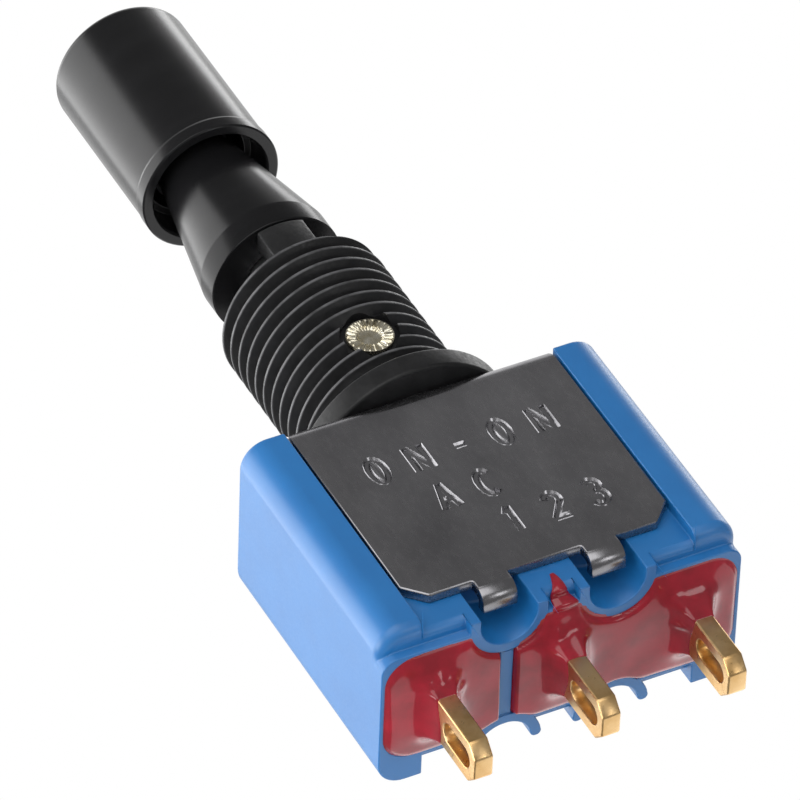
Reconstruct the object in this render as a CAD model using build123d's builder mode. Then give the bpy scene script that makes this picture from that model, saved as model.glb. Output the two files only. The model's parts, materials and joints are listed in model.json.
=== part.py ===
"""Miniature toggle switch with a lift-to-unlock lever, panel mounted, in millimetres.

Frame: the origin is on the bushing axis in the panel seat, which is the upper face of the bushing
flange. +Z runs up the threaded bushing to the lever, +X runs along the row of terminals.
Heights named *_Z are measured in that frame. The lever stands in its centre position.
"""
import os
from math import atan, cos, degrees, radians, sin, sqrt, tan

from build123d import *

os.makedirs("parts", exist_ok=True)

# ---------------------------------------------------------------- driving dimensions
LEVER_THROW = 12.5                            # degrees to each side
TERMINAL_PITCH = 4.75
TERMINAL_T, TERMINAL_W = 0.7, 1.75            # along X and Y
TERMINAL_TIP = 3.6                            # how far the lugs stand out of the rim
TIP_CHAMFER = 0.45
EYE_W, EYE_L, EYE_UP = 0.8, 1.85, 0.4         # wire eye, and the metal below it
FOOT_IN, FOOT_T = 1.75, 0.5                   # contact foot of the two outer terminals
SEAT_GAP = 0.03                               # a terminal in its slot
CONTACT_R, CONTACT_T = 0.65, 0.3
CONTACT_GAP = 0.05                            # left between closed contacts

CASE_D = 6.6                                  # moulded case along Y, over its rails
CASE_EDGE_R = 1.0                             # rounding of its four upright edges
CHAMBER_H = 6.4                               # contact chamber, open at the top
CHAMBER_ROOM = 0.4                            # from the outer terminals to its end walls
CHAMBER_WALL, CHAMBER_SIDE = 1.25, 0.73       # its end walls, and its walls behind the cheeks
FLOOR_T = 0.8                                 # floor between contact chamber and sealing well
WELL_H, WELL_WALL = 3.3, 0.16                 # sealing well below the floor
WELL_CORNER_R, RIM_CORNER_R = 1.05, 0.6       # inside the well, and outside its rim
CASE_END_R = 0.4                              # soft edge round the outer wall's lower end
RIM_STEP = 0.35                               # how far the well's rim stands past the outer wall
RIM_IN = 0.485                                # how far it stands in from the walls behind the cheeks
RIB_T, RIB_PROUD = 0.5, 0.05                  # ribs between the terminals, just out of the seal
EPOXY_SINK = 0.1                              # surface of the sealing compound under the rim
CREEP_OUT, CREEP_UP = 0.45, 1.0               # the compound drawn up round each terminal's root
CREEP_EDGE = 0.1                              # its thickness at the top
END_UP = 0.2                                  # the case's end blocks beside the top plate

FRAME_T = 0.4                                 # sheet thickness of the folded frame
FRAME_PROUD = 0.04                            # how far a cheek's face lies under the case's rails
RAIL_W, SIDE_GAP = 1.65, 0.08                 # rails beside the cheeks, and the gap between them
LID_LAP = 0.5                                 # the top plate's lap on the chamber's end walls
CHEEK_UP = 1.5                                # from the case's lower end to a cheek's lower edge
CHEEK_CHAMFER = 0.75
BEND_R = 0.3                                  # inside radius of the folds
TAB_W, TAB_DROP, TAB_RUN = 1.3, 0.35, 0.3     # locking tabs, their straight drop and their bent end
TAB_BEND_R = 0.1
POCKET_X = 2.03                               # the U-shaped pockets' places along X
POCKET_R, POCKET_WALL = 1.05, 0.4
POCKET_REACH, REAR_REACH = 1.8, 1.05          # pocket depth in from the front and rear rails
POCKET_OVER = 0.7                             # room over the cheek's lower edge in a pocket
LEG_ROUND = 0.18                              # rounding of the rear pocket legs' ends
SEAT_EDGE_R = 0.3                             # soft lower edge of the wall behind the front cheek

BUSHING_R = 3.175                             # major radius of the 1/4-40 thread
BUSHING_L, BUSHING_CHAMFER = 7.72, 0.175      # thread length above the panel seat, its end chamfer
THREAD_PITCH, THREAD_DEPTH = 0.635, 0.35
THREAD_CREST = 0.12                           # flat on its crests
THREAD_START = 0.3                            # plain foot between panel seat and thread
FLANGE_R, FLANGE_T, FLANGE_BREAK = 4.0, 0.95, 0.15
SPIGOT_R, SPIGOT_FIT = 2.9, 0.03              # the part of the bushing that is staked in the frame
ROOF_T = 1.45                                 # roof over the ball's bore
LUG_W, LUG_H, LUG_T = 1.75, 1.65, 0.85        # the two lugs on the roof
SLOT_GAP = 0.1                                # the tilted stem in the roof's slot

PIVOT_Z = 2.45                                # hinge axis of the lever
PIN_R, PIN_FIT = 0.7, 0.04
PIN_HEAD_R, PIN_SINK_R, PIN_SINK = 0.79, 0.82, 0.425   # peened pin ends, in sinks in the thread
PIN_UNDER = 0.1                               # a pin end's face under the thread's crests
PIN_DISH_R, PIN_DISH = 0.38, 0.15             # dish left in it by the punch
BALL_R, BALL_FIT = 2.1, 0.1                   # pivot ball of the lever, in the bushing's bore
NECK_R = 1.15                                 # stem above the ball, and the rod in the cap
ARM_R = 1.1                                   # stem below the pivot
SLIDE_FIT = 0.05

SLEEVE_GAP = 0.1                              # under the locking sleeve, over the lugs
SLEEVE_R, SLEEVE_BAND = 2.5, 0.95             # its lower cylindrical band
SLEEVE_L, SLEEVE_TOP_R = 6.2, 1.53
SLEEVE_LIFT = 1.5                             # how far it is pulled up to free the lever
CAP_LAP = 0.95                                # how far the resting sleeve stands in the cap
CAP_L, CAP_R, CAP_ROUND = 7.47, 2.62, 0.3
CAP_MOUTH_L, CAP_ROOF = 1.25, 2.0             # wide mouth, and the solid top over the spring
CAP_MOUTH_GAP, CAP_BORE_GAP = 0.22, 0.15      # round the lifted sleeve
CAP_LIP_R, CAP_LIP_H = 0.04, 0.55             # fine bead round the mouth
ROD_COVER = 1.0                               # cap over the rod's top
LOCK_WIRE, LOCK_TURNS = 0.22, 4
WIRE_SIDES = 5

ROCKER_RATIO = 0.64                           # rocker turn for each degree of the lever
ROCKER_UP = 1.2                               # hinge axis of the rocker over the chamber's floor
ROCKER_W, ROCKER_T = 2.4, 0.45
SHOULDER_W = 0.35                             # land beside the rocker's cup
CUP_GAP = 0.05                                # plunger tip to rocker, and rocker to cradle
PLUNGER_R, PLUNGER_L = 0.62, 3.1
PLUNGER_OUT = 1.28                            # from the stem's end to the centre of the tip
PLUNGER_WIRE, PLUNGER_TURNS = 0.13, 4
PLUNGER_SPRING_L = 1.58

# ---------------------------------------------------------------- places worked out from them
CHAMBER_W = 2 * (TERMINAL_PITCH + TERMINAL_T / 2 + CHAMBER_ROOM)
CASE_W = CHAMBER_W + 2 * CHAMBER_WALL
CASE_H = CHAMBER_H + FLOOR_T + WELL_H
FRAME_TOP = -FLANGE_T                         # upper face of the frame
CASE_TOP = FRAME_TOP - FRAME_T
BLOCK_TOP = CASE_TOP + END_UP
CASE_END = CASE_TOP - CASE_H
WALL_END = CASE_END + RIM_STEP
FLOOR_TOP = CASE_TOP - CHAMBER_H
FLOOR_UNDER = FLOOR_TOP - FLOOR_T
EPOXY_END = CASE_END + EPOXY_SINK
RAIL_Y = CASE_D / 2
CHEEK_Y = RAIL_Y - FRAME_PROUD                # outer face of a cheek
SEAT_Y = CHEEK_Y - FRAME_T                    # face of the case that a cheek lies on
CHAMBER_D = 2 * (SEAT_Y - CHAMBER_SIDE)
RIM_D = 2 * (SEAT_Y - RIM_IN)                 # the rim's outer size along Y
WELL_W, WELL_D = CASE_W - 2 * WELL_WALL, RIM_D - 2 * WELL_WALL
FRAME_W = CASE_W - 2 * (RAIL_W + SIDE_GAP)    # width of the cheeks
RECESS_W = FRAME_W + 2 * SIDE_GAP
FRAME_TOP_W = CHAMBER_W + 2 * LID_LAP
LID_D = 2 * (SEAT_Y - BEND_R)                 # the wider part of the top plate along Y
CHEEK_END = CASE_END + CHEEK_UP
FOLD_R = BEND_R + FRAME_T                     # outside radius of the folds
TAB_R = TAB_BEND_R + FRAME_T
TAB_END = CHEEK_END - TAB_DROP - TAB_R
TAB_TIP_Y = SEAT_Y - TAB_BEND_R - TAB_RUN
POCKET_OUT_R = POCKET_R + POCKET_WALL
POCKET_TOP = CHEEK_END + POCKET_OVER

ROOF_UNDER = BUSHING_L - ROOF_T
BORE_R = BALL_R + BALL_FIT
PIN_L = 2 * (BUSHING_R - PIN_UNDER)
THREAD_ROOT_R = BUSHING_R - THREAD_DEPTH
THREAD_FLANK = (THREAD_PITCH - THREAD_CREST) / 2
THREAD_TURNS = int((BUSHING_L - BUSHING_CHAMFER - THREAD_START) / THREAD_PITCH)
LEAN = radians(LEVER_THROW)
SLOT_L = 2 * ((BUSHING_L - PIVOT_Z) * tan(LEAN) + NECK_R / cos(LEAN) + SLOT_GAP)
SLOT_W = 2 * (NECK_R + SLOT_GAP)
SLEEVE_Z = BUSHING_L + LUG_H + SLEEVE_GAP     # underside of the resting sleeve
SLEEVE_TOP = SLEEVE_Z + SLEEVE_L
SLEEVE_TAPER = (SLEEVE_R - SLEEVE_TOP_R) / (SLEEVE_L - SLEEVE_BAND)
CAP_Z = SLEEVE_TOP - CAP_LAP
CAP_TOP = CAP_Z + CAP_L
SPRING_TOP = CAP_TOP - CAP_ROOF
ROD_TOP_Z = CAP_TOP - ROD_COVER
# the cap clears the sleeve's cone when it is lifted
CAP_MOUTH_R = SLEEVE_TOP_R + SLEEVE_TAPER * (CAP_LAP + SLEEVE_LIFT) + CAP_MOUTH_GAP
CAP_BORE_R = SLEEVE_TOP_R + SLEEVE_TAPER * (CAP_LAP + SLEEVE_LIFT - CAP_MOUTH_L) + CAP_BORE_GAP
LOCK_COIL_R = (CAP_BORE_R + NECK_R) / 2

ROCKER_Z = FLOOR_TOP + ROCKER_UP
EYE_Z = CASE_END - TERMINAL_TIP + EYE_UP + EYE_L / 2
TIP_Z = CASE_END - TERMINAL_TIP
CRADLE_R = TERMINAL_T / 2                     # rounded head of the centre terminal
GROOVE_R = CRADLE_R + CUP_GAP
TIP_R = PLUNGER_R                             # ball end of the plunger
PLUNGER_BORE_R = PLUNGER_R + PIN_FIT
PLUNGER_COIL_R = PLUNGER_BORE_R - PLUNGER_WIRE
CUP_BOTTOM = ROCKER_Z + GROOVE_R + ROCKER_T
TIP_CENTRE = CUP_BOTTOM + CUP_GAP + TIP_R
PLUNGER_TOP = TIP_CENTRE + PLUNGER_L
PLUNGER_BORE_TOP = PLUNGER_TOP + PLUNGER_SPRING_L
ARM_END = TIP_CENTRE + PLUNGER_OUT            # lower end of the lever's stem
PLUNGER_ARM = PIVOT_Z - TIP_CENTRE            # pivot to the centre of the plunger's tip
TIP_ABOVE = TIP_CENTRE - ROCKER_Z
# seen from the rocker, the plunger's tip runs on an arc of this radius
TIP_RUN = (PLUNGER_ARM - ROCKER_RATIO * TIP_ABOVE) ** 2 / (
    2 * (ROCKER_RATIO * PLUNGER_ARM + PLUNGER_ARM / 2 - ROCKER_RATIO**2 * TIP_ABOVE / 2))
CUP_R = TIP_RUN + TIP_R + CUP_GAP
CUP_HALF = (PLUNGER_ARM - ROCKER_RATIO * TIP_ABOVE) * sin(LEAN) + TIP_R
SHOULDER_Z = TIP_CENTRE + TIP_RUN - sqrt(CUP_R**2 - CUP_HALF**2)
ROCKER_TURN = ROCKER_RATIO * LEAN
CONTACT_X = TERMINAL_PITCH + TERMINAL_T / 2 - FOOT_IN + CONTACT_R
ROCKER_SPAN = 2 * (CONTACT_X + CONTACT_R)
FOOT_TOP = FLOOR_TOP + FOOT_T
FIXED_TOP = FOOT_TOP + CONTACT_T
# the moving contact's face at rest, so that it stops CONTACT_GAP above the fixed one
MOVING_FACE = FIXED_TOP + CONTACT_GAP + (CONTACT_X + CONTACT_R) * sin(ROCKER_TURN) \
    + (ROCKER_Z - FIXED_TOP) * (1 - cos(ROCKER_TURN))
ARM_UNDER = MOVING_FACE + CONTACT_T


def both_ways(length):
    """The two places at +length and -length along X."""
    return Locations((length, 0), (-length, 0))


def write(part, name):
    """Label a finished piece and write it as a STEP file."""
    part.label = name
    export_step(part, f"parts/{name}.step")


def spring(wire, coil_r, turns, low, high):
    """A helical compression spring between two heights, drawn with a many-sided wire."""
    rise = high - low - wire
    with BuildPart() as coil:
        with BuildLine() as run:
            Helix(pitch=rise / turns, height=rise, radius=coil_r, center=(0, 0, low + wire / 2))
        with BuildSketch(Plane(origin=run.line @ 0, z_dir=run.line % 0)):
            RegularPolygon(wire / 2, WIRE_SIDES)
        sweep(is_frenet=True)
    return coil


# ---------------------------------------------------------------- case: moulded housing
def pocket_outline(radius, reach, front):
    """A U-shaped pocket seen from below, open towards the front or the back."""
    side = -1 if front else 1
    middle = RAIL_Y - (POCKET_REACH if front else REAR_REACH) + POCKET_R
    with BuildSketch() as outline:
        with Locations((0, side * middle)):
            Circle(radius)
        with Locations((0, side * (middle + RAIL_Y))):
            Rectangle(2 * radius, 2 * RAIL_Y)
        with Locations((0, side * (reach + 2 * RAIL_Y))):
            Rectangle(2 * radius, 4 * RAIL_Y, mode=Mode.SUBTRACT)
    return outline.sketch


with BuildPart() as case:
    # outer block, its rails and the rim that runs on below them
    with BuildSketch(Plane.XY.offset(WALL_END)):
        RectangleRounded(CASE_W, CASE_D, CASE_EDGE_R)
    extrude(amount=BLOCK_TOP - WALL_END)
    fillet(case.edges().group_by(Axis.Z)[0], CASE_END_R)
    with BuildSketch(Plane.XY.offset(CASE_END)):
        RectangleRounded(CASE_W, RIM_D, RIM_CORNER_R)
    extrude(amount=RIM_STEP + CASE_END_R)
    # recesses for the frame's cheeks, front and back
    with BuildSketch(Plane.XY.offset(WALL_END)):
        with Locations((0, RAIL_Y), (0, -RAIL_Y)):
            Rectangle(RECESS_W, 2 * (RAIL_Y - SEAT_Y))
    extrude(amount=BLOCK_TOP - WALL_END, mode=Mode.SUBTRACT)
    # the top plate lies sunk between the end blocks
    with BuildSketch(Plane.XY.offset(CASE_TOP)):
        Rectangle(RECESS_W, CASE_D)
        RectangleRounded(FRAME_TOP_W + 2 * SIDE_GAP, LID_D + 2 * SIDE_GAP, WELL_CORNER_R)
    extrude(amount=END_UP, mode=Mode.SUBTRACT)
    # the rear rails run on down to the rim
    with BuildSketch(Plane.XY.offset(CASE_END)):
        RectangleRounded(CASE_W, CASE_D, CASE_EDGE_R)
        Rectangle(RECESS_W, CASE_D, mode=Mode.SUBTRACT)
        with Locations((0, CASE_D / 2)):
            Rectangle(CASE_W, CASE_D, mode=Mode.INTERSECT)
    extrude(amount=RIM_STEP + CASE_END_R)
    low_edge = case.edges().filter_by(Axis.X).filter_by(
        lambda e: abs(e.center().Y + SEAT_Y) < 0.01 and abs(e.center().Z - WALL_END) < 0.01)
    fillet(low_edge, SEAT_EDGE_R)
    # the recess's upper edges give way to the inside of the frame's folds
    folds = case.edges().filter_by(Axis.X).filter_by(
        lambda e: abs(abs(e.center().Y) - SEAT_Y) < 0.01 and abs(e.center().Z - CASE_TOP) < 0.01)
    chamfer(folds, BEND_R)
    # sealing well, open below
    with BuildSketch(Plane.XY.offset(CASE_END)):
        RectangleRounded(WELL_W, WELL_D, WELL_CORNER_R)
    extrude(amount=FLOOR_UNDER - CASE_END, mode=Mode.SUBTRACT)
    # contact chamber, open above and closed by the frame
    with BuildSketch(Plane.XY.offset(CASE_TOP)):
        RectangleRounded(CHAMBER_W, CHAMBER_D, WELL_CORNER_R)
    extrude(amount=-CHAMBER_H, mode=Mode.SUBTRACT)
    # ribs across the well, between the terminals
    with BuildSketch(Plane.XY.offset(EPOXY_END - RIB_PROUD)):
        with both_ways(POCKET_X):
            Rectangle(RIB_T, WELL_D - 2 * WELL_WALL)
    extrude(until=Until.NEXT)
    # pocket walls, first solid and then hollowed
    with BuildSketch(Plane.XY.offset(CASE_END)):
        with both_ways(POCKET_X):
            add(pocket_outline(POCKET_OUT_R, SEAT_Y, True))
            add(pocket_outline(POCKET_OUT_R, SEAT_Y, False))
    extrude(amount=POCKET_TOP + WELL_WALL - CASE_END)
    with BuildSketch(Plane.XY.offset(CASE_END)):
        with both_ways(POCKET_X):
            add(pocket_outline(POCKET_OUT_R, RAIL_Y, False))
    extrude(amount=2 * RIM_STEP)
    with BuildSketch(Plane.XY.offset(CASE_END)):
        with both_ways(POCKET_X):
            add(pocket_outline(POCKET_R, RAIL_Y, True))
            add(pocket_outline(POCKET_R, RAIL_Y, False))
    extrude(amount=POCKET_TOP - CASE_END, mode=Mode.SUBTRACT)
    # slots for the terminals through the floor
    with BuildSketch(Plane.XY.offset(FLOOR_UNDER)):
        with Locations((0, 0), (TERMINAL_PITCH, 0), (-TERMINAL_PITCH, 0)):
            Rectangle(TERMINAL_T + 2 * SEAT_GAP, TERMINAL_W + 2 * SEAT_GAP)
    extrude(amount=FLOOR_T, mode=Mode.SUBTRACT)
    # round the ends of the rear pocket legs
    leg_ends = case.edges().filter_by(Axis.Z).filter_by(
        lambda e: abs(e.center().Y - RAIL_Y) < 0.01 and abs(e.center().X) < POCKET_X + 2 * POCKET_R)
    fillet(leg_ends, LEG_ROUND)
write(case.part, "case")


# ---------------------------------------------------------------- frame: one folded sheet
with BuildPart() as frame:
    # cheek, fold, top plate, fold, cheek: the strip seen from its end
    with BuildSketch(Plane.YZ):
        with BuildLine():
            outside = FilletPolyline(
                (-CHEEK_Y, CHEEK_END), (-CHEEK_Y, FRAME_TOP), (CHEEK_Y, FRAME_TOP),
                (CHEEK_Y, CHEEK_END), radius=FOLD_R)
            inside = FilletPolyline(
                (-SEAT_Y, CHEEK_END), (-SEAT_Y, CASE_TOP), (SEAT_Y, CASE_TOP),
                (SEAT_Y, CHEEK_END), radius=BEND_R)
            Line(outside @ 0, inside @ 0)
            Line(outside @ 1, inside @ 1)
        make_face()
    extrude(amount=FRAME_W / 2, both=True)
    # cut the cheeks' lower corners
    low_corners = frame.edges().filter_by(Axis.Y).filter_by(
        lambda e: abs(e.center().Z - CHEEK_END) < 0.01)
    chamfer(low_corners, CHEEK_CHAMFER)
    # the top plate is wider than the cheeks and closes the case
    with BuildSketch(Plane.XY.offset(CASE_TOP)):
        RectangleRounded(FRAME_TOP_W, LID_D, WELL_CORNER_R)
    extrude(amount=FRAME_T)
    # hole for the bushing's spigot
    with BuildSketch(Plane.XY.offset(CASE_TOP)):
        Circle(SPIGOT_R + SPIGOT_FIT)
    extrude(amount=FRAME_T, mode=Mode.SUBTRACT)
    # locking tabs, bent under the case's edge inside the pockets after assembly
    for side in (-1, 1):
        for place in (POCKET_X, -POCKET_X):
            with BuildSketch(Plane.YZ.offset(place)):
                with BuildLine():
                    outside = FilletPolyline(
                        (side * CHEEK_Y, CHEEK_END), (side * CHEEK_Y, TAB_END),
                        (side * TAB_TIP_Y, TAB_END), radius=TAB_R)
                    inside = FilletPolyline(
                        (side * SEAT_Y, CHEEK_END), (side * SEAT_Y, TAB_END + FRAME_T),
                        (side * TAB_TIP_Y, TAB_END + FRAME_T), radius=TAB_BEND_R)
                    Line(outside @ 0, inside @ 0)
                    Line(outside @ 1, inside @ 1)
                make_face()
            extrude(amount=TAB_W / 2, both=True)
write(frame.part, "frame")

# ---------------------------------------------------------------- bushing: flange, thread, lugs
def thread_side():
    """The thread's section as rings one pitch apart, from the panel seat up."""
    points = [(BUSHING_R, 0), (BUSHING_R, THREAD_START)]
    for turn in range(THREAD_TURNS):
        low = THREAD_START + turn * THREAD_PITCH
        points.append((THREAD_ROOT_R, low + THREAD_FLANK))
        points.append((BUSHING_R, low + 2 * THREAD_FLANK))
        points.append((BUSHING_R, low + THREAD_PITCH))
    points[-1] = (BUSHING_R, BUSHING_L - BUSHING_CHAMFER)
    points.append((BUSHING_R - BUSHING_CHAMFER, BUSHING_L))
    return points


with BuildPart() as bushing:
    with BuildSketch(Plane.XZ):
        with BuildLine():
            Polyline(
                (0, CASE_TOP), (SPIGOT_R, CASE_TOP), (SPIGOT_R, FRAME_TOP), (FLANGE_R, FRAME_TOP),
                (FLANGE_R, 0), *thread_side(), (0, BUSHING_L), close=True)
        make_face()
    revolve(axis=Axis.Z)
    rim = bushing.edges().filter_by(GeomType.CIRCLE).filter_by(
        lambda e: abs(e.radius - FLANGE_R) < 0.01)
    chamfer(rim, FLANGE_BREAK)
    # bore for the lever's ball, and the slot that guides its stem
    with BuildSketch(Plane.XY.offset(CASE_TOP)):
        Circle(BORE_R)
    extrude(amount=ROOF_UNDER - CASE_TOP, mode=Mode.SUBTRACT)
    with BuildSketch(Plane.XY.offset(ROOF_UNDER)):
        SlotOverall(SLOT_L, SLOT_W)
    extrude(amount=ROOF_T, mode=Mode.SUBTRACT)
    # two lugs beside the slot, flush with the sleeve's band
    with BuildSketch(Plane.XY.offset(BUSHING_L)):
        Circle(SLEEVE_R)
        Rectangle(2 * SLEEVE_R, 2 * (SLEEVE_R - LUG_T), mode=Mode.SUBTRACT)
        Rectangle(LUG_W, 2 * SLEEVE_R, mode=Mode.INTERSECT)
    extrude(amount=LUG_H)
    # cross hole for the hinge pin, with a sink round each of its ends
    with BuildSketch(Plane.XZ.offset(-BUSHING_R)):
        with Locations((0, PIVOT_Z)):
            Circle(PIN_R)
    extrude(amount=2 * BUSHING_R, mode=Mode.SUBTRACT)
    for side in (-1, 1):
        with BuildSketch(Plane.XZ.offset(side * BUSHING_R)):
            with Locations((0, PIVOT_Z)):
                Circle(PIN_SINK_R)
        extrude(amount=-side * PIN_SINK, mode=Mode.SUBTRACT)
write(bushing.part, "bushing")

with BuildPart() as pivot_pin:
    with BuildSketch(Plane.XZ.offset(-PIN_L / 2)):
        with Locations((0, PIVOT_Z)):
            Circle(PIN_R)
    extrude(amount=PIN_L)
    for side in (-1, 1):
        with BuildSketch(Plane.XZ.offset(side * PIN_L / 2)):
            with Locations((0, PIVOT_Z)):
                Circle(PIN_HEAD_R)
        extrude(amount=-side * (PIN_SINK - PIN_UNDER))
        with BuildSketch(Plane.XZ.offset(side * PIN_L / 2)):
            with Locations((0, PIVOT_Z)):
                Circle(PIN_DISH_R)
        extrude(amount=-side * PIN_DISH, mode=Mode.SUBTRACT)
write(pivot_pin.part, "pivot_pin")

# ---------------------------------------------------------------- lever: ball and stem, one turned piece
with BuildPart() as lever_stem:
    with BuildSketch(Plane.XY.offset(ARM_END)):
        Circle(ARM_R)
    extrude(amount=PIVOT_Z - ARM_END)
    with Locations((0, 0, PIVOT_Z)):
        Sphere(BALL_R)
    with BuildSketch(Plane.XY.offset(PIVOT_Z)):
        Circle(NECK_R)
    extrude(amount=ROD_TOP_Z - PIVOT_Z)
    chamfer(lever_stem.edges().group_by(Axis.Z)[-1], NECK_R / 5)
    chamfer(lever_stem.edges().group_by(Axis.Z)[0].sort_by(SortBy.LENGTH)[-1], ARM_R / 8)
    # hinge hole through the ball, and the plunger's bore from below
    with BuildSketch(Plane.XZ.offset(-BALL_R)):
        with Locations((0, PIVOT_Z)):
            Circle(PIN_R + PIN_FIT)
    extrude(amount=2 * BALL_R, mode=Mode.SUBTRACT)
    with BuildSketch(Plane.XY.offset(ARM_END)):
        Circle(PLUNGER_BORE_R)
    extrude(amount=PLUNGER_BORE_TOP - ARM_END, mode=Mode.SUBTRACT)
write(lever_stem.part, "lever_stem")

with BuildPart() as locking_sleeve:
    with BuildSketch(Plane.XZ):
        with BuildLine():
            Polyline(
                (NECK_R + SLIDE_FIT, SLEEVE_Z), (SLEEVE_R, SLEEVE_Z), (SLEEVE_R, SLEEVE_Z + SLEEVE_BAND),
                (SLEEVE_TOP_R, SLEEVE_TOP), (NECK_R + SLIDE_FIT, SLEEVE_TOP), close=True)
        make_face()
    revolve(axis=Axis.Z)
write(locking_sleeve.part, "locking_sleeve")

with BuildPart() as lever_cap:
    with BuildSketch(Plane.XZ):
        with BuildLine():
            Polyline(
                (CAP_MOUTH_R, CAP_Z), (CAP_R, CAP_Z), (CAP_R, CAP_TOP), (0, CAP_TOP),
                (0, ROD_TOP_Z), (NECK_R, ROD_TOP_Z), (NECK_R, SPRING_TOP),
                (CAP_BORE_R, SPRING_TOP), (CAP_BORE_R, CAP_Z + CAP_MOUTH_L),
                (CAP_MOUTH_R, CAP_Z + CAP_MOUTH_L), close=True)
        make_face()
        with BuildLine():
            Polyline(
                (CAP_R, CAP_Z), (CAP_R + CAP_LIP_R, CAP_Z + CAP_LIP_H / 4),
                (CAP_R + CAP_LIP_R, CAP_Z + 3 * CAP_LIP_H / 4), (CAP_R, CAP_Z + CAP_LIP_H), close=True)
        make_face()
    revolve(axis=Axis.Z)
    fillet(lever_cap.edges().group_by(Axis.Z)[-1], CAP_ROUND)
write(lever_cap.part, "lever_cap")

lock_spring = spring(LOCK_WIRE, LOCK_COIL_R, LOCK_TURNS, SLEEVE_TOP, SPRING_TOP)
write(lock_spring.part, "lock_spring")

# ---------------------------------------------------------------- plunger in the lever's lower end
with BuildPart() as plunger:
    with BuildSketch(Plane.XY.offset(TIP_CENTRE)):
        Circle(PLUNGER_R)
    extrude(amount=PLUNGER_L)
    with Locations((0, 0, TIP_CENTRE)):
        Sphere(TIP_R)
    chamfer(plunger.edges().group_by(Axis.Z)[-1], PLUNGER_R / 6)
write(plunger.part, "plunger")

plunger_spring = spring(
    PLUNGER_WIRE, PLUNGER_COIL_R, PLUNGER_TURNS, PLUNGER_TOP, PLUNGER_BORE_TOP)
write(plunger_spring.part, "plunger_spring")

# ---------------------------------------------------------------- rocker: cup above, groove below
with BuildPart() as rocker:
    with BuildSketch(Plane.XZ):
        with BuildLine():
            cup = ThreePointArc(
                (-CUP_HALF, SHOULDER_Z), (0, CUP_BOTTOM), (CUP_HALF, SHOULDER_Z))
            Polyline(
                cup @ 1, (CUP_HALF + SHOULDER_W, SHOULDER_Z), (ROCKER_SPAN / 2, ARM_UNDER + ROCKER_T),
                (ROCKER_SPAN / 2, ARM_UNDER), (CUP_HALF, ARM_UNDER), (GROOVE_R, ROCKER_Z),
                (-GROOVE_R, ROCKER_Z), (-CUP_HALF, ARM_UNDER), (-ROCKER_SPAN / 2, ARM_UNDER),
                (-ROCKER_SPAN / 2, ARM_UNDER + ROCKER_T), (-CUP_HALF - SHOULDER_W, SHOULDER_Z), cup @ 0)
        make_face()
        with Locations((0, ROCKER_Z)):
            Circle(GROOVE_R, mode=Mode.SUBTRACT)
    extrude(amount=ROCKER_W / 2, both=True)
write(rocker.part, "rocker")

for name, place in (("moving_contact_left", -CONTACT_X), ("moving_contact_right", CONTACT_X)):
    with BuildPart() as contact:
        with BuildSketch(Plane.XY.offset(MOVING_FACE)):
            with Locations((place, 0)):
                Circle(CONTACT_R)
        extrude(amount=CONTACT_T)
        chamfer(contact.edges().group_by(Axis.Z)[0], CONTACT_T / 4)
    write(contact.part, name)

for name, place in (("fixed_contact_left", -CONTACT_X), ("fixed_contact_right", CONTACT_X)):
    with BuildPart() as contact:
        with BuildSketch(Plane.XY.offset(FOOT_TOP)):
            with Locations((place, 0)):
                Circle(CONTACT_R)
        extrude(amount=CONTACT_T)
        chamfer(contact.edges().group_by(Axis.Z)[-1], CONTACT_T / 4)
    write(contact.part, name)


# ---------------------------------------------------------------- terminals
def terminal(place, top):
    """A flat blade with a wire eye and a chamfered tip, seen along X."""
    with BuildPart() as blade:
        with BuildSketch(Plane.YZ.offset(place)):
            with BuildLine():
                Polyline(
                    (-TERMINAL_W / 2, top), (-TERMINAL_W / 2, TIP_Z + TIP_CHAMFER),
                    (-TERMINAL_W / 2 + TIP_CHAMFER, TIP_Z), (TERMINAL_W / 2 - TIP_CHAMFER, TIP_Z),
                    (TERMINAL_W / 2, TIP_Z + TIP_CHAMFER), (TERMINAL_W / 2, top), close=True)
            make_face()
            with Locations((0, EYE_Z)):
                SlotOverall(EYE_L, EYE_W, rotation=90, mode=Mode.SUBTRACT)
        extrude(amount=TERMINAL_T / 2, both=True)
    return blade.part


with BuildPart() as terminal_common:
    add(terminal(0, ROCKER_Z))
    with BuildSketch(Plane.XZ):
        with Locations((0, ROCKER_Z)):
            Circle(CRADLE_R)
    extrude(amount=TERMINAL_W / 2, both=True)
write(terminal_common.part, "terminal_common")

for name, side in (("terminal_left", -1), ("terminal_right", 1)):
    with BuildPart() as outer_terminal:
        add(terminal(side * TERMINAL_PITCH, FOOT_TOP))
        with BuildSketch(Plane.XY.offset(FLOOR_TOP)):
            with Locations((side * (TERMINAL_PITCH + TERMINAL_T / 2 - FOOT_IN / 2), 0)):
                Rectangle(FOOT_IN, TERMINAL_W)
        extrude(amount=FOOT_T)
    write(outer_terminal.part, name)

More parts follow.
